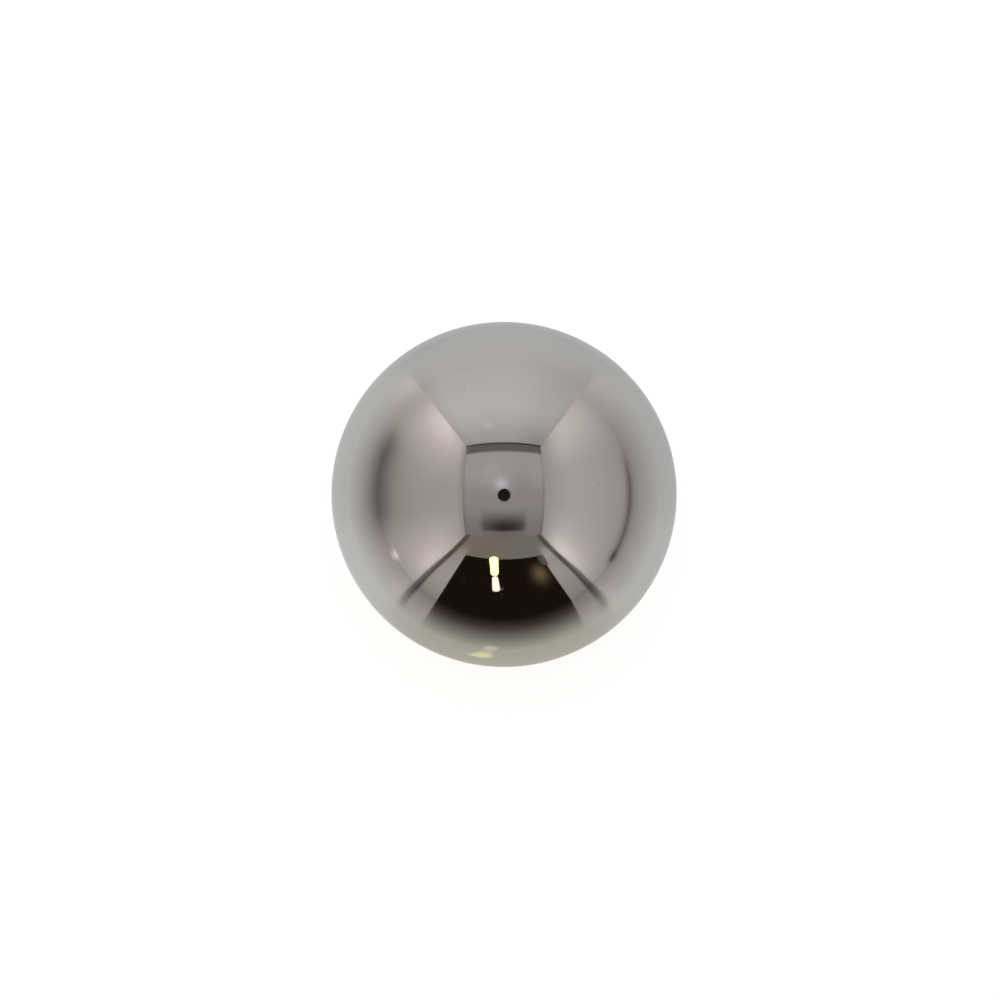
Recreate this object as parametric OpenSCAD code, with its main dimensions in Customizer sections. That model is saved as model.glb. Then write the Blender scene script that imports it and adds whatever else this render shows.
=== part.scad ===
// Loose steel ball, ground and lapped to a mirror: one solid piece, with no
// flat, bore or seam. Millimetres, with the origin at the centre of the ball.

/* [Ball] */
// Nominal diameter of the ball
ball_d = 10; // [1:0.5:50]

/* [Hidden] */
// Facets round the ball in a preview: the true form is an exact sphere
$fn = 128;

// The ball, the same in every direction
module ball() {
    color([0.70, 0.68, 0.66])
        sphere(d = ball_d);
}

ball();
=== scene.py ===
import math

import bmesh
import bpy
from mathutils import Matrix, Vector


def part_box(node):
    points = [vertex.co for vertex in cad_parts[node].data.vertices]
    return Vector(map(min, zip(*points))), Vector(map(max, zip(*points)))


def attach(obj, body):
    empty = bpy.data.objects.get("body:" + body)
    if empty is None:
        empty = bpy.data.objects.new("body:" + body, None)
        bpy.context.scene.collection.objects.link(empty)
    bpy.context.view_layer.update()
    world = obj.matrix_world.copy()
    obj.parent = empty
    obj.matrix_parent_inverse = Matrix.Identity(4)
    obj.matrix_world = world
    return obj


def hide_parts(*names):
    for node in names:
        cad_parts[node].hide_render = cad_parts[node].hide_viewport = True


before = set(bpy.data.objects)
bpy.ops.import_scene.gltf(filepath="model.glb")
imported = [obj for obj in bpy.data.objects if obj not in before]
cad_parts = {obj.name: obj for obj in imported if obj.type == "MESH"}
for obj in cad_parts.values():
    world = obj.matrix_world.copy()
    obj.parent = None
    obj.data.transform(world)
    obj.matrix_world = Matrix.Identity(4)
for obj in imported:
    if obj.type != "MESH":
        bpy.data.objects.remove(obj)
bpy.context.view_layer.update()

# ---------------------------------------------------------------- sizes
# Lengths are in metres, and MM writes them in millimetres. The origin is the centre of the ball,
# and the ball's radius comes from its part in model.glb.

MM = 0.001
MICRON = 1e-6
ball_low, ball_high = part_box("ball")
BALL_R = (ball_high.z - ball_low.z) / 2
FLOOR_Z = ball_low.z

# The light tent: a pale cloth box round the ball, open at the front
TENT_LEFT = -174 * MM
TENT_RIGHT = 169 * MM
TENT_BACK = 221 * MM
TENT_FRONT = -181 * MM
TENT_TOP = 333 * MM
OPENING_LEFT = -115 * MM
OPENING_RIGHT = 115 * MM
OPENING_TOP = 191 * MM
RIGHT_JAMB_LEAN = -7 * MM
CLOTH_CELL = 4 * MM
UPRIGHT = Vector((0, 0, 0))

# The front corner poles, which are not built: they are painted shade, a dark stripe in the cloth's
# glow
POLE_HALF = 10 * MM
POLE_EDGE = 4 * MM
POLE_FOOT = 0.5 * MM
POLE_LEAN = 16.5 * MM

# The fold of cloth across the opening's upper right corner
FOLD_WIDTH = 22 * MM
FOLD_LEFT_DROP = 42 * MM
FOLD_RIGHT_DROP = 52 * MM
FOLD_LAP = 1 * MM

# The camera looks straight down from just above the tent, which it doesn't see.
# What the steel mirrors as its lens is a black disc just under the roof
CAMERA_HEIGHT = 340 * MM
LENS_RADIUS = 24.5 * MM
LENS_SIDES = 48
LENS_BELOW_ROOF = 2 * MM
LENS_TOWARDS_FRONT = 2.5 * MM
LENS_COLOUR = (0.016, 0.014, 0.013)
SENSOR_WIDTH_MM = 36.0
BALL_SHARE_OF_FRAME = 0.3452
BALL_RIGHT_OF_CENTRE = 0.0041
BALL_ABOVE_CENTRE = 0.0056

# The dark room beyond the tent's opening
ROOM_WALL = -300 * MM
ROOM_HALF_WIDTH = 450 * MM
ROOM_HEIGHT = 420 * MM

# Two bright strips that hang before the opening. Each end is its x, its z and
# its half width
STRIPS_Y = -68 * MM
STRIP_END_STEPS = 12
HIGH_STRIP = ((-10.8 * MM, 73 * MM, 4.5 * MM), (-8.2 * MM, 52 * MM, 3.2 * MM))
HIGH_STRIP_COLOUR = (1.0, 0.95, 0.25)
HIGH_STRIP_STRENGTH = 5.4
LOW_STRIP = ((-7.3 * MM, 45.5 * MM, 2.4 * MM), (-5.6 * MM, 33 * MM, 2.8 * MM))
LOW_STRIP_COLOUR = (1.0, 0.70, 0.62)
LOW_STRIP_STRENGTH = 2.4

# The plate that the ball stands on, as the steel sees it. Seen less steeply than
# PLATE_GLOSS_LIMIT it turns little by little into a mirror, and to the back it
# blends into the cloth. The BACK values are directions: 0 is to the side, and 1
# is straight back
PLATE_LIGHT = 0.614
PLATE_LIGHT_MOST = 0.90
PLATE_GLOSS_LIMIT = 0.668
PLATE_GLOSS_POWER = 1.625
PLATE_ROUGHNESS = 0.10
PLATE_SHINE = 0.848
FAR_BACK_SHINE = 0.95
BACK_STARTS, BACK_ENDS = 0.2, 0.75
FAR_BACK_STARTS, FAR_BACK_ENDS = 0.70, 0.92
LOW_ANGLE = 0.2

# The floor as the camera sees it, and the light round about
FLOOR_REACH = 3.0
FLOOR_FINEST = BALL_R / 20
FLOOR_SPOKES = 64
FLOOR_RINGS = 48
SHADOW_REACH = 6 * BALL_R
NEAR_WHITE = 0.70
CHALK = (0.82, 0.86, 0.88, 1)
SOFT_GREY = (0.45, 0.45, 0.45, 1)
WHITE = (1, 1, 1, 1)

# The steel, and what can be seen of its finish close up
BALL_CELLS = 72
STEEL = (0.62, 0.608, 0.585)
PIT_STEEL = (0.22, 0.20, 0.18)
CLEAN_ROUGHNESS = 0.028
HAZE_ROUGHNESS = 0.055
MARK_ROUGHNESS = 0.22
MARK_DULLNESS = 0.5
MARK_DEPTH = 0.12 * MICRON
MARK_BREAK_SIZE = 0.4
MARK_END_FADE = 0.08
PIT_DEPTH = 1.5 * MICRON
SMALLEST_SPECK = 0.3
SPECK_CORE = 0.6
FINE_HAZE_SIZE = 0.12
FINE_HAZE_SHARE = 0.25
HAZE_STARTS = 0.40
HAZE_FULL = 0.66
LAP_AXES = (
    (0.31, 0.12, 0.94),
    (-0.72, 0.55, 0.42),
    (0.58, 0.77, -0.26),
    (0.88, -0.36, 0.30),
    (-0.15, 0.93, 0.34),
)


# ---------------------------------------------------------------- helpers
def pool(value, centre, reach):
    """A soft pool: 1 at the centre, about a third at the reach, and gone at twice that."""
    return math.exp(-(((value - centre) / reach) ** 2))


def rise(value, start, end):
    """0 before start, 1 after end, and smooth between them."""
    t = min(1.0, max(0.0, (value - start) / (end - start)))
    return t * t * (3 - 2 * t)


def stripe(value, low, high, edge):
    """1 between low and high, with edges that fade over twice the given width."""
    return rise(value, low - edge, low + edge) - rise(value, high - edge, high + edge)


def tinted(level, tint):
    return [level * part for part in tint]


def added(colour, more):
    return [a + b for a, b in zip(colour, more)]


def add_object(name, mesh, material):
    obj = bpy.data.objects.new(name, mesh)
    bpy.context.scene.collection.objects.link(obj)
    obj.data.materials.append(material)
    return obj


def add_unseen(name, mesh, material):
    """A piece of the stage that shows in the steel, but not to the camera."""
    obj = add_object(name, mesh, material)
    obj.visible_camera = False


def new_material(name):
    """An empty node material, its tree, and its output node."""
    material = bpy.data.materials.new(name)
    material.use_nodes = True
    material.cycles.emission_sampling = "NONE"
    tree = material.node_tree
    tree.nodes.clear()
    output = tree.nodes.new("ShaderNodeOutputMaterial")
    return material, tree, output


# ---------------------------------------------------------------- camera
def make_camera():
    outline = BALL_R / math.sqrt(CAMERA_HEIGHT**2 - BALL_R**2)
    half_frame = outline / BALL_SHARE_OF_FRAME
    data = bpy.data.cameras.new("camera")
    data.sensor_width = SENSOR_WIDTH_MM
    data.lens = SENSOR_WIDTH_MM / 2 / half_frame
    data.shift_x = -BALL_RIGHT_OF_CENTRE
    data.shift_y = -BALL_ABOVE_CENTRE
    data.clip_start = BALL_R
    data.clip_end = FLOOR_REACH
    camera = bpy.data.objects.new("camera", data)
    camera.location = (0, 0, CAMERA_HEIGHT)
    bpy.context.scene.collection.objects.link(camera)
    bpy.context.scene.camera = camera


# ---------------------------------------------------------------- ball
def ball_mesh(radius, cells):
    """An even sphere: the six square grids of a cube, each pushed out to the radius."""
    bm = bmesh.new()
    bmesh.ops.create_cube(bm, size=2.0)
    bmesh.ops.subdivide_edges(bm, edges=bm.edges, cuts=cells - 1, use_grid_fill=True)
    for vert in bm.verts:
        even = Vector([math.tan(part * math.pi / 4) for part in vert.co])
        vert.co = even.normalized() * radius
    for face in bm.faces:
        face.smooth = True
    mesh = bpy.data.meshes.new("ball_skin")
    bm.to_mesh(mesh)
    bm.free()
    return mesh


def new_group(name, inputs, output):
    """An empty shader node group with named float or vector inputs and one float output."""
    tree = bpy.data.node_groups.new(name, "ShaderNodeTree")
    for label, kind in inputs:
        tree.interface.new_socket(name=label, in_out="INPUT", socket_type=kind)
    tree.interface.new_socket(name=output, in_out="OUTPUT", socket_type="NodeSocketFloat")
    entry = tree.nodes.new("NodeGroupInput")
    leave = tree.nodes.new("NodeGroupOutput")
    return tree, entry.outputs, leave.inputs[output]


def set_or_link(tree, socket, value):
    """Gives a socket a plain value, or joins it to another node's output."""
    if isinstance(value, bpy.types.NodeSocket):
        tree.links.new(value, socket)
    else:
        socket.default_value = value


def maths(tree, operation, *values):
    node = tree.nodes.new("ShaderNodeMath")
    node.operation = operation
    for socket, value in zip(node.inputs, values):
        set_or_link(tree, socket, value)
    return node.outputs["Value"]


def fade(tree, value, start, end, low, high):
    """Goes smoothly from low to high as the value goes from start to end."""
    node = tree.nodes.new("ShaderNodeMapRange")
    node.interpolation_type = "SMOOTHSTEP"
    limits = (("From Min", start), ("From Max", end), ("To Min", low), ("To Max", high))
    set_or_link(tree, node.inputs["Value"], value)
    for label, limit in limits:
        set_or_link(tree, node.inputs[label], limit)
    return node.outputs["Result"]


def noise(tree, place, size, detail):
    """Cloudy noise whose patches are about size across."""
    node = tree.nodes.new("ShaderNodeTexNoise")
    tree.links.new(place, node.inputs["Vector"])
    set_or_link(tree, node.inputs["Scale"], maths(tree, "DIVIDE", 1.0, size))
    node.inputs["Detail"].default_value = detail
    return node.outputs["Fac"]


def random_of(tree, value):
    node = tree.nodes.new("ShaderNodeTexWhiteNoise")
    node.noise_dimensions = "1D"
    tree.links.new(value, node.inputs["W"])
    return node.outputs["Value"]


def lapping_marks_group():
    """Thin arcs round an axis, as a lap leaves them: broken up, and each of its own depth."""
    tree, given, mask = new_group("lapping_marks", [
        ("Place", "NodeSocketVector"), ("Axis", "NodeSocketVector"), ("Spacing", "NodeSocketFloat"),
        ("Width", "NodeSocketFloat"), ("Patch", "NodeSocketFloat"), ("Cover", "NodeSocketFloat"),
    ], "Mask")
    along = tree.nodes.new("ShaderNodeVectorMath")
    along.operation = "DOT_PRODUCT"
    tree.links.new(given["Place"], along.inputs[0])
    tree.links.new(given["Axis"], along.inputs[1])
    cloud = noise(tree, given["Place"], given["Patch"], detail=1.0)
    wander = maths(tree, "MULTIPLY", cloud, given["Spacing"])
    height = maths(tree, "ADD", along.outputs["Value"], wander)
    turn = maths(tree, "DIVIDE", height, given["Spacing"])
    off_line = maths(tree, "ABSOLUTE", maths(tree, "SUBTRACT", maths(tree, "FRACT", turn), 0.5))
    distance = maths(tree, "MULTIPLY", off_line, given["Spacing"])
    line = fade(tree, distance, 0.0, maths(tree, "MULTIPLY", given["Width"], 0.5), 1.0, 0.0)
    depth = random_of(tree, maths(tree, "FLOOR", turn))
    break_size = maths(tree, "MULTIPLY", given["Patch"], MARK_BREAK_SIZE)
    short = noise(tree, given["Place"], break_size, detail=0.0)
    bare = maths(tree, "SUBTRACT", 1.0, given["Cover"])
    shown = fade(tree, short, bare, maths(tree, "ADD", bare, MARK_END_FADE), 0.0, 1.0)
    tree.links.new(maths(tree, "MULTIPLY", maths(tree, "MULTIPLY", line, depth), shown), mask)
    return tree


def specks_group():
    """Small round specks, scattered: one in some of the cells of a loose grid."""
    tree, given, mask = new_group("specks", [
        ("Place", "NodeSocketVector"), ("Cell", "NodeSocketFloat"),
        ("Radius", "NodeSocketFloat"), ("Share", "NodeSocketFloat"),
    ], "Mask")
    cells = tree.nodes.new("ShaderNodeTexVoronoi")
    tree.links.new(given["Place"], cells.inputs["Vector"])
    tree.links.new(maths(tree, "DIVIDE", 1.0, given["Cell"]), cells.inputs["Scale"])
    distance = maths(tree, "MULTIPLY", cells.outputs["Distance"], given["Cell"])
    chance = tree.nodes.new("ShaderNodeSeparateColor")
    tree.links.new(cells.outputs["Color"], chance.inputs["Color"])
    chosen = maths(tree, "LESS_THAN", chance.outputs["Red"], given["Share"])
    grown = maths(tree, "ADD", chance.outputs["Green"], SMALLEST_SPECK)
    size = maths(tree, "MULTIPLY", given["Radius"], grown)
    spot = fade(tree, distance, maths(tree, "MULTIPLY", size, SPECK_CORE), size, 1.0, 0.0)
    tree.links.new(maths(tree, "MULTIPLY", spot, chosen), mask)
    return tree


def handling_haze_group():
    """Soft cloudy patches where handling has dulled the polish a little."""
    tree, given, mask = new_group("handling_haze", [
        ("Place", "NodeSocketVector"), ("Patch", "NodeSocketFloat"),
    ], "Mask")
    wide = noise(tree, given["Place"], given["Patch"], detail=3.0)
    fine_size = maths(tree, "MULTIPLY", given["Patch"], FINE_HAZE_SIZE)
    fine = noise(tree, given["Place"], fine_size, detail=2.0)
    wide_part = maths(tree, "MULTIPLY", wide, 1 - FINE_HAZE_SHARE)
    fine_part = maths(tree, "MULTIPLY", fine, FINE_HAZE_SHARE)
    both = maths(tree, "ADD", wide_part, fine_part)
    tree.links.new(fade(tree, both, HAZE_STARTS, HAZE_FULL, 0.0, 1.0), mask)
    return tree


def use_group(tree, group, place, **values):
    node = tree.nodes.new("ShaderNodeGroup")
    node.node_tree = group
    tree.links.new(place, node.inputs["Place"])
    for label, value in values.items():
        node.inputs[label].default_value = value
    return node.outputs["Mask"]


def polished_steel():
    """Hardened steel lapped to a mirror, with faint arcs, tiny pits and a breath of haze."""
    material, tree, output = new_material("polished_steel")
    place = tree.nodes.new("ShaderNodeTexCoord").outputs["Object"]
    marks_group = lapping_marks_group()
    marks = None
    for axis in LAP_AXES:
        arc = use_group(
            tree, marks_group, place,
            Axis=axis, Spacing=0.7 * MM, Width=0.014 * MM, Patch=3.2 * MM, Cover=0.46,
        )
        marks = arc if marks is None else maths(tree, "MAXIMUM", marks, arc)
    pits = use_group(tree, specks_group(), place, Cell=0.3 * MM, Radius=0.015 * MM, Share=0.25)
    haze = use_group(tree, handling_haze_group(), place, Patch=4.5 * MM)

    shader = tree.nodes.new("ShaderNodeBsdfPrincipled")
    shader.inputs["Metallic"].default_value = 1.0

    colour = tree.nodes.new("ShaderNodeMix")
    colour.data_type = "RGBA"
    colour.inputs["A"].default_value = (*STEEL, 1)
    colour.inputs["B"].default_value = (*PIT_STEEL, 1)
    tree.links.new(pits, colour.inputs["Factor"])
    tree.links.new(colour.outputs["Result"], shader.inputs["Base Color"])

    dull = maths(tree, "MAXIMUM", maths(tree, "MULTIPLY", marks, MARK_DULLNESS), pits)
    polish = fade(tree, haze, 0.0, 1.0, CLEAN_ROUGHNESS, HAZE_ROUGHNESS)
    roughness = maths(tree, "ADD", polish, maths(tree, "MULTIPLY", dull, MARK_ROUGHNESS))
    tree.links.new(roughness, shader.inputs["Roughness"])

    mark_depth = maths(tree, "MULTIPLY", marks, MARK_DEPTH)
    sunk = maths(tree, "ADD", mark_depth, maths(tree, "MULTIPLY", pits, PIT_DEPTH))
    bump = tree.nodes.new("ShaderNodeBump")
    bump.invert = True
    bump.inputs["Distance"].default_value = 1.0
    tree.links.new(sunk, bump.inputs["Height"])
    tree.links.new(bump.outputs["Normal"], shader.inputs["Normal"])
    tree.links.new(shader.outputs["BSDF"], output.inputs["Surface"])
    return material


def make_ball():
    ball = add_object("lapped_ball", ball_mesh(BALL_R, BALL_CELLS), polished_steel())
    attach(ball, "root")
    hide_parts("ball")


# ---------------------------------------------------------------- light tent
# Each panel of cloth has its own glow of painted light and shade: brighter where a lamp stands
# behind it, and darker along its seams and where shade falls. x is to the right, y to the back, z
# up.
# Many of the sizes, levels, colours and fades of the tent, the plate and the
# strips were worked out by least-squares fits in other programs, and then
# rounded or changed by hand. So was the ball's place and size in the frame.
PINK_CLOTH = (1.0, 0.892, 0.863)
MAUVE_CLOTH = (1.0, 0.902, 0.899)
GREY_CLOTH = (1.0, 0.955, 0.945)
FOLD_CLOTH = (1.0, 0.98, 0.80)
ROOM_DARK = (0.013, 0.008, 0.005)
ROOM_AMBER = (1.0, 0.72, 0.36)
COOL_LEAK = (1.0, 1.03, 1.37)
BAR_SHADE = (0.83, 0.87, 0.87)
SEAM_EDGE = 6 * MM


def past_pole(from_corner, z):
    """The light that gets past a front corner pole, which leans in towards its top.

    from_corner is below 0 on the front cloth, and above 0 on the side wall.
    """
    middle = POLE_FOOT - POLE_LEAN * rise(z, 40 * MM, 280 * MM)
    dark = 0.725 - 0.2 * rise(z, 150 * MM, 290 * MM)
    return 1 - dark * stripe(from_corner, middle - POLE_HALF, middle + POLE_HALF, POLE_EDGE)


def deep_foot_shade(z, reach):
    """Painted shade in a dark band along a wall's foot: 1 at the floor, and nearly gone at twice
    the reach.
    """
    return math.exp(-((max(0.0, z - FLOOR_Z) / reach) ** 1.5))


def foot_shade(z, reach):
    """The shade low on a wall: 1 at the floor, and less and less above it."""
    return math.exp(-(z - FLOOR_Z) / reach)


def left_glow(x, y, z):
    front_lamp = 0.34 * rise(-y, 22 * MM, 165 * MM) * pool(z, 105 * MM, 130 * MM)
    back_lamp = 0.43 * rise(y, 6 * MM, 229 * MM) * pool(z, 131 * MM, 177 * MM)
    back_corner = 0.14 * pool(y, 200 * MM, 45 * MM) * pool(z, 125 * MM, 75 * MM)
    beside_pole = 0.09 * pool(y, -156 * MM, 22 * MM) * pool(z, 85 * MM, 50 * MM)
    # painted shade: a dark band low on the left wall
    foot_band_shade = 0.585 * stripe(y, -47 * MM, 96 * MM, 34 * MM) * deep_foot_shade(z, 43 * MM)
    leak = 0.60 * pool(y, -97 * MM, 9 * MM) * pool(z, -1 * MM, 6 * MM)
    level = 0.53 + front_lamp + back_lamp + back_corner + beside_pole
    under_roof = 0.41
    level += (under_roof - level) * rise(z, 271 * MM, 353 * MM)
    level *= 1 - 0.155 * foot_shade(z, 84 * MM)
    level *= 1 - foot_band_shade
    level += leak
    return tinted(level * past_pole(y - TENT_FRONT, z), PINK_CLOTH)


def right_glow(x, y, z):
    front_lamp = 0.50 * rise(-y, 18 * MM, 236 * MM) * pool(z, 266 * MM, 222 * MM)
    back_lamp = 0.23 * rise(y, 50 * MM, 186 * MM) * pool(z, 97 * MM, 299 * MM)
    beside_pole = 0.16 * pool(y, -158 * MM, 26 * MM) * pool(z, 130 * MM, 100 * MM)
    # painted shade: dark bands low on the right wall
    foot_band_shade = 0.56 * stripe(y, -97 * MM, 45 * MM, 30 * MM) * deep_foot_shade(z, 9.5 * MM)
    foot_band_shade += 0.60 * pool(y, -98 * MM, 13 * MM) * deep_foot_shade(z, 10 * MM)
    level = 0.62 + front_lamp + back_lamp + beside_pole
    under_roof = 0.465
    level += (under_roof - level) * rise(z, 140 * MM, 353 * MM)
    level *= 1 - 0.316 * foot_shade(z, 76 * MM)
    level *= 1 - min(0.97, foot_band_shade)
    return tinted(level * past_pole(y - TENT_FRONT, z), MAUVE_CLOTH)


def back_glow(x, y, z):
    level = 0.683 + 0.039 * rise(z, FLOOR_Z, 111 * MM)
    level -= 0.194 * rise(z, 111 * MM, 310 * MM)
    level -= 0.106 * rise(x, 0, 150 * MM)
    # painted shade towards the back wall's side corners
    level *= 1 - 0.081 * rise(-x, 125 * MM, 165 * MM)
    level *= 1 - 0.09 * rise(x, 140 * MM, 168 * MM) * pool(z, 130 * MM, 60 * MM)
    level += 0.13 * pool(x, -53 * MM, 13 * MM) * pool(z, 205 * MM, 12 * MM)
    seam = TENT_TOP - 14 * MM
    level *= 1 - 0.90 * rise(z, seam - SEAM_EDGE, seam + SEAM_EDGE)
    return tinted(level, GREY_CLOTH)


def to_corner(x):
    """How far a point of the front cloth is from the nearer corner, counted below 0."""
    return max(x - TENT_RIGHT, TENT_LEFT - x)


def header_glow(x, y, z):
    cool = rise(x, -30 * MM, 40 * MM)
    beside_pole = 0.27 if x > 0 else 0.18
    level = 0.256 - 0.01 * cool
    level += beside_pole * rise(abs(x), 103 * MM, 130 * MM) * pool(z, OPENING_TOP, 42 * MM)
    header_cloth = (1.0, 0.836 + 0.073 * cool, 0.702 + 0.13 * cool)
    return tinted(level * past_pole(to_corner(x), z), header_cloth)


def front_side_glow(x, y, z):
    if x < 0:
        level = 0.375 + 0.16 * pool(z, 81 * MM, 95 * MM)
    else:
        level = 0.428 + 0.088 * pool(z, 108 * MM, 60 * MM)
        level += 0.09 * rise(z, 150 * MM, OPENING_TOP)
    level *= 1 - 0.205 * foot_shade(z, 52 * MM)
    return tinted(level * past_pole(to_corner(x), z), PINK_CLOTH)


def corner_fold_glow(x, y, z):
    lit = 0.13 * rise(x, OPENING_RIGHT - 24 * MM, OPENING_RIGHT - 4 * MM)
    return tinted(0.05 + lit, FOLD_CLOTH)


def roof_glow(x, y, z):
    level = 0.295 + 0.097 * rise(y, TENT_FRONT, -11 * MM)
    level += 0.102 * rise(y, -11 * MM, 92 * MM)
    level += 0.045 * pool(x, -55 * MM, 48 * MM) * pool(y, 80 * MM, 60 * MM)
    level -= 0.032 * pool(x, 75 * MM, 48 * MM) * pool(y, 60 * MM, 60 * MM)
    seam = TENT_BACK - 40 * MM
    level *= 1 - 0.66 * rise(y, seam - SEAM_EDGE, seam + SEAM_EDGE)
    from_side = min(TENT_RIGHT - x, x - TENT_LEFT)
    level *= 1 - 0.17 * rise(-from_side, -14 * MM, -6 * MM)
    leak = 0.27 * pool(x, -10 * MM, 25 * MM) * pool(y, 40 * MM, 25 * MM)
    bar = stripe(x, -94 * MM, 88 * MM, 16 * MM) * pool(x, 4 * MM, 122 * MM)
    bar *= rise(-y, 45 * MM, 132 * MM) * (1 - 0.75 * rise(-y, 144 * MM, 156 * MM))
    mauve = rise(-y, 65 * MM, 130 * MM)
    cloth = tinted(level, (1.0, 0.918 - 0.09 * mauve, 0.898 - 0.04 * mauve))
    cloth = added(cloth, tinted(leak, COOL_LEAK))
    return [part * (1 - shade * bar) for part, shade in zip(cloth, BAR_SHADE)]


def room_glow(x, y, z):
    lit = 0.17 * pool(x, 137 * MM, 29 * MM) * pool(z, 192 * MM, 50 * MM)
    return added(ROOM_DARK, tinted(lit, ROOM_AMBER))


def floor_glow(x, y, z):
    """The plate's painted light and shade: grey-white, warmer and darker far to the front, shaded
    under the ball, and darker towards the front corner poles.

    to_right and to_front say which way a point lies from the ball, from -1 to 1.
    """
    reach = math.sqrt(x * x + y * y) + 1e-9
    to_right = x / reach
    to_front = -y / reach
    ahead = rise(to_front, 0.45, 1.0)
    far_ahead = rise(to_front, 0.2, 1.0) * rise(reach, 22 * MM, 48 * MM)
    left = rise(-to_right, 0.45, 0.85)
    front_left = rise(0.47 * to_front - 0.88 * to_right, 0.90, 1.0)
    front_right = rise(0.49 * to_front + 0.87 * to_right, 0.88, 0.98)
    # painted shade on the plate in the directions of the front corner poles
    painted_pole_shade = rise(0.66 * to_front + 0.75 * abs(to_right), 0.978, 1.0)
    painted_pole_shade *= rise(reach, 14 * MM, 20 * MM)
    # painted shadow of the ball in the plate's light
    cover = (1 + (reach / BALL_R) ** 2) ** -1.5
    level = PLATE_LIGHT * (1 - cover * (0.4 + 0.6 * cover))
    level *= (1 + 0.107 * left) * (1 + 0.116 * front_left) * (1 + 0.113 * front_right)
    level *= (1 - 0.18 * far_ahead) * (1 - 0.17 * painted_pole_shade)
    red = 1 + 0.04 * ahead
    green = 1.03 - 0.02 * ahead - 0.16 * far_ahead
    blue = 1.03 - 0.145 * ahead - 0.21 * far_ahead
    return tinted(level, (red, green, blue))


def grid_faces(columns, rows):
    wide = columns + 1
    faces = []
    for row in range(rows):
        for column in range(columns):
            first = row * wide + column
            faces.append((first, first + 1, first + 1 + wide, first + wide))
    return faces


def glowing_mesh(name, points, faces, glow):
    """A mesh with each point's glow stored on it as a colour."""
    mesh = bpy.data.meshes.new(name)
    mesh.from_pydata(points, [], faces)
    stored = mesh.attributes.new("glow", "FLOAT_COLOR", "POINT")
    for item, point in zip(stored.data, points):
        item.color = (*glow(*point), 1)
    return mesh


def cloth_panel(name, corner, across, up, glow, material, lean=UPRIGHT):
    """A flat grid from a corner, along across and up. The far side's top leans by lean."""
    columns = max(1, round(across.length / CLOTH_CELL))
    rows = max(1, round(up.length / CLOTH_CELL))
    points = [
        corner + across * (column / columns) + (up + lean * (column / columns)) * (row / rows)
        for row in range(rows + 1)
        for column in range(columns + 1)
    ]
    mesh = glowing_mesh(name, points, grid_faces(columns, rows), glow)
    add_unseen(name, mesh, material)


def glow_light(tree):
    """Light of the colour that is stored on the mesh."""
    stored = tree.nodes.new("ShaderNodeAttribute")
    stored.attribute_name = "glow"
    light = tree.nodes.new("ShaderNodeEmission")
    tree.links.new(stored.outputs["Color"], light.inputs["Color"])
    return light.outputs["Emission"]


def glowing_cloth():
    material, tree, output = new_material("glowing_cloth")
    tree.links.new(glow_light(tree), output.inputs["Surface"])
    return material


def plain_light(name, colour, strength):
    """A light of one colour all over."""
    material, tree, output = new_material(name)
    light = tree.nodes.new("ShaderNodeEmission")
    light.inputs["Color"].default_value = (*colour, 1)
    light.inputs["Strength"].default_value = strength
    tree.links.new(light.outputs["Emission"], output.inputs["Surface"])
    return material


def flat_shape(name, corners, material):
    """One flat face of the stage, given by its outline."""
    mesh = bpy.data.meshes.new(name)
    mesh.from_pydata(corners, [], [tuple(range(len(corners)))])
    add_unseen(name, mesh, material)


def make_tent(cloth):
    foot, top = FLOOR_Z, TENT_TOP
    depth = Vector((0, TENT_BACK - TENT_FRONT, 0))
    width = Vector((TENT_RIGHT - TENT_LEFT, 0, 0))
    height = Vector((0, 0, top - foot))
    front_left = Vector((TENT_LEFT, TENT_FRONT, foot))
    front_right = Vector((TENT_RIGHT, TENT_FRONT, foot))
    back_left = Vector((TENT_LEFT, TENT_BACK, foot))
    cloth_panel("tent_left", front_left, depth, height, left_glow, cloth)
    cloth_panel("tent_right", front_right, depth, height, right_glow, cloth)
    cloth_panel("tent_back", back_left, width, height, back_glow, cloth)
    cloth_panel("tent_roof", front_left + height, width, depth, roof_glow, cloth)

    jamb = Vector((0, 0, OPENING_TOP - foot))
    left_strip = Vector((OPENING_LEFT - TENT_LEFT, 0, 0))
    right_strip = Vector((OPENING_RIGHT - TENT_RIGHT, 0, 0))
    cloth_panel("tent_front_left", front_left, left_strip, jamb, front_side_glow, cloth)
    lean = Vector((RIGHT_JAMB_LEAN, 0, 0))
    cloth_panel("tent_front_right", front_right, right_strip, jamb, front_side_glow, cloth, lean)
    cloth_panel("tent_header", front_left + jamb, width, height - jamb, header_glow, cloth)
    make_corner_fold(cloth)


def make_corner_fold(cloth):
    """A fold of cloth that hangs across the opening's upper right corner."""
    left = OPENING_RIGHT - FOLD_WIDTH
    right = OPENING_RIGHT + FOLD_LAP
    y = TENT_FRONT + FOLD_LAP
    points = [
        (left, y, OPENING_TOP),
        (left, y, OPENING_TOP - FOLD_LEFT_DROP),
        (right, y, OPENING_TOP - FOLD_RIGHT_DROP),
        (right, y, OPENING_TOP),
    ]
    mesh = glowing_mesh("corner_fold", points, [(0, 1, 2, 3)], corner_fold_glow)
    add_unseen("corner_fold", mesh, cloth)


def make_lens():
    """The camera's lens, a black disc just under the roof."""
    z = TENT_TOP - LENS_BELOW_ROOF
    turn = 2 * math.pi / LENS_SIDES
    ring = []
    for k in range(LENS_SIDES):
        y = LENS_RADIUS * math.sin(turn * k) - LENS_TOWARDS_FRONT
        ring.append((LENS_RADIUS * math.cos(turn * k), y, z))
    flat_shape("lens", ring, plain_light("lens_black", LENS_COLOUR, 1.0))


def tapered_strip(ends, y):
    """The outline of an upright strip with round ends: its top end first, then its foot."""
    points = []
    for (x, z, half), start in zip(ends, (0, math.pi)):
        for k in range(STRIP_END_STEPS + 1):
            turn = start + math.pi * k / STRIP_END_STEPS
            points.append((x + half * math.cos(turn), y, z + half * math.sin(turn)))
    return points


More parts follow.
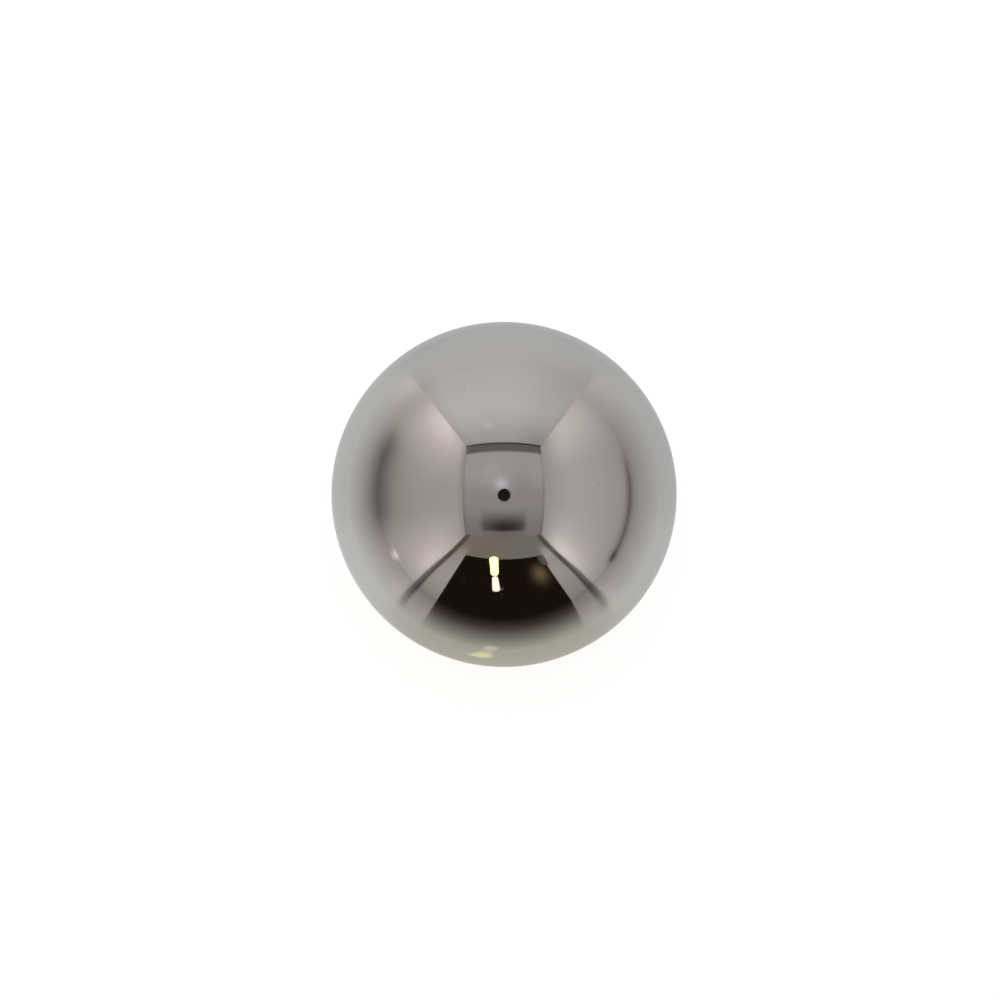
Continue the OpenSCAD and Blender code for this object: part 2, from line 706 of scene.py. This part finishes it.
def make_lamps():
    """Two bright strips, one above the other."""
    high_light = plain_light("yellow_lamp", HIGH_STRIP_COLOUR, HIGH_STRIP_STRENGTH)
    low_light = plain_light("pink_lamp", LOW_STRIP_COLOUR, LOW_STRIP_STRENGTH)
    flat_shape("lamp_high", tapered_strip(HIGH_STRIP, STRIPS_Y), high_light)
    flat_shape("lamp_low", tapered_strip(LOW_STRIP, STRIPS_Y), low_light)


def make_room(cloth):
    corner = Vector((-ROOM_HALF_WIDTH, ROOM_WALL, FLOOR_Z))
    across = Vector((2 * ROOM_HALF_WIDTH, 0, 0))
    cloth_panel("dark_room", corner, across, Vector((0, 0, ROOM_HEIGHT)), room_glow, cloth)


# ---------------------------------------------------------------- floor and world
def shader_node(tree, kind, **values):
    """A node with the named sockets set, and the output that carries its shader."""
    node = tree.nodes.new(kind)
    for label, value in values.items():
        set_or_link(tree, node.inputs[label], value)
    return node.outputs[0]


def mixed(tree, share, first, second):
    node = tree.nodes.new("ShaderNodeMixShader")
    tree.links.new(share, node.inputs["Fac"])
    tree.links.new(first, node.inputs[1])
    tree.links.new(second, node.inputs[2])
    return node.outputs["Shader"]


def floor_material():
    material, tree, output = new_material("pale_floor")

    # To the camera it is matt and white. It glows less near the ball, whose shadow
    # shows there
    place = tree.nodes.new("ShaderNodeTexCoord").outputs["Object"]
    reach = tree.nodes.new("ShaderNodeVectorMath")
    reach.operation = "LENGTH"
    tree.links.new(place, reach.inputs[0])
    whiteness = fade(tree, reach.outputs["Value"], SHADOW_REACH, 4 * SHADOW_REACH, NEAR_WHITE, 1.0)
    white = shader_node(tree, "ShaderNodeEmission", Strength=whiteness)
    chalk = shader_node(tree, "ShaderNodeBsdfDiffuse", Color=CHALK)
    seen = tree.nodes.new("ShaderNodeAddShader")
    tree.links.new(white, seen.inputs[0])
    tree.links.new(chalk, seen.inputs[1])

    # In the steel it is a lit plate, which turns to a mirror at a low angle. To the back
    # it mirrors the cloth more strongly, and hardly an edge shows between them
    parts = tree.nodes.new("ShaderNodeSeparateXYZ")
    tree.links.new(place, parts.inputs["Vector"])
    facing = tree.nodes.new("ShaderNodeLayerWeight").outputs["Facing"]
    steepness = maths(tree, "SUBTRACT", 1.0, facing)
    to_back = maths(tree, "DIVIDE", parts.outputs["Y"], reach.outputs["Value"])
    far_shine = fade(tree, to_back, FAR_BACK_STARTS, FAR_BACK_ENDS, PLATE_SHINE, FAR_BACK_SHINE)
    back_shine = fade(tree, steepness, 0.0, LOW_ANGLE, 1.0, far_shine)
    shine = fade(tree, to_back, BACK_STARTS, BACK_ENDS, PLATE_SHINE, back_shine)
    gloss = shader_node(tree, "ShaderNodeBsdfGlossy", Color=shine, Roughness=PLATE_ROUGHNESS)
    steep_share = maths(tree, "DIVIDE", steepness, PLATE_GLOSS_LIMIT)
    share = maths(tree, "POWER", steep_share, PLATE_GLOSS_POWER)
    share = maths(tree, "MINIMUM", share, PLATE_LIGHT_MOST)
    plate = mixed(tree, share, gloss, glow_light(tree))

    path = tree.nodes.new("ShaderNodeLightPath")
    both = mixed(tree, path.outputs["Is Camera Ray"], plate, seen.outputs["Shader"])
    tree.links.new(both, output.inputs["Surface"])
    return material


def make_floor():
    """Rings of faces, fine under the ball and wide far away."""
    growth = (FLOOR_REACH / FLOOR_FINEST) ** (1 / FLOOR_RINGS)
    points = []
    for ring in range(FLOOR_RINGS + 1):
        reach = 0.0 if ring == 0 else FLOOR_FINEST * growth**ring
        for spoke in range(FLOOR_SPOKES + 1):
            angle = 2 * math.pi * spoke / FLOOR_SPOKES
            points.append((reach * math.cos(angle), reach * math.sin(angle), FLOOR_Z))
    mesh = glowing_mesh("floor", points, grid_faces(FLOOR_SPOKES, FLOOR_RINGS), floor_glow)
    add_object("floor", mesh, floor_material())


def make_world():
    world = bpy.data.worlds.new("soft_world")
    bpy.context.scene.world = world
    world.use_nodes = True
    tree = world.node_tree
    tree.nodes.clear()
    output = tree.nodes.new("ShaderNodeOutputWorld")
    soft_light = shader_node(tree, "ShaderNodeBackground", Color=SOFT_GREY)
    white = shader_node(tree, "ShaderNodeBackground", Color=WHITE)
    path = tree.nodes.new("ShaderNodeLightPath")
    both = mixed(tree, path.outputs["Is Camera Ray"], soft_light, white)
    tree.links.new(both, output.inputs["Surface"])


make_camera()
make_ball()
tent_cloth = glowing_cloth()
make_tent(tent_cloth)
make_lens()
make_lamps()
make_room(tent_cloth)
make_floor()
make_world()
bpy.context.scene.view_settings.view_transform = "Standard"
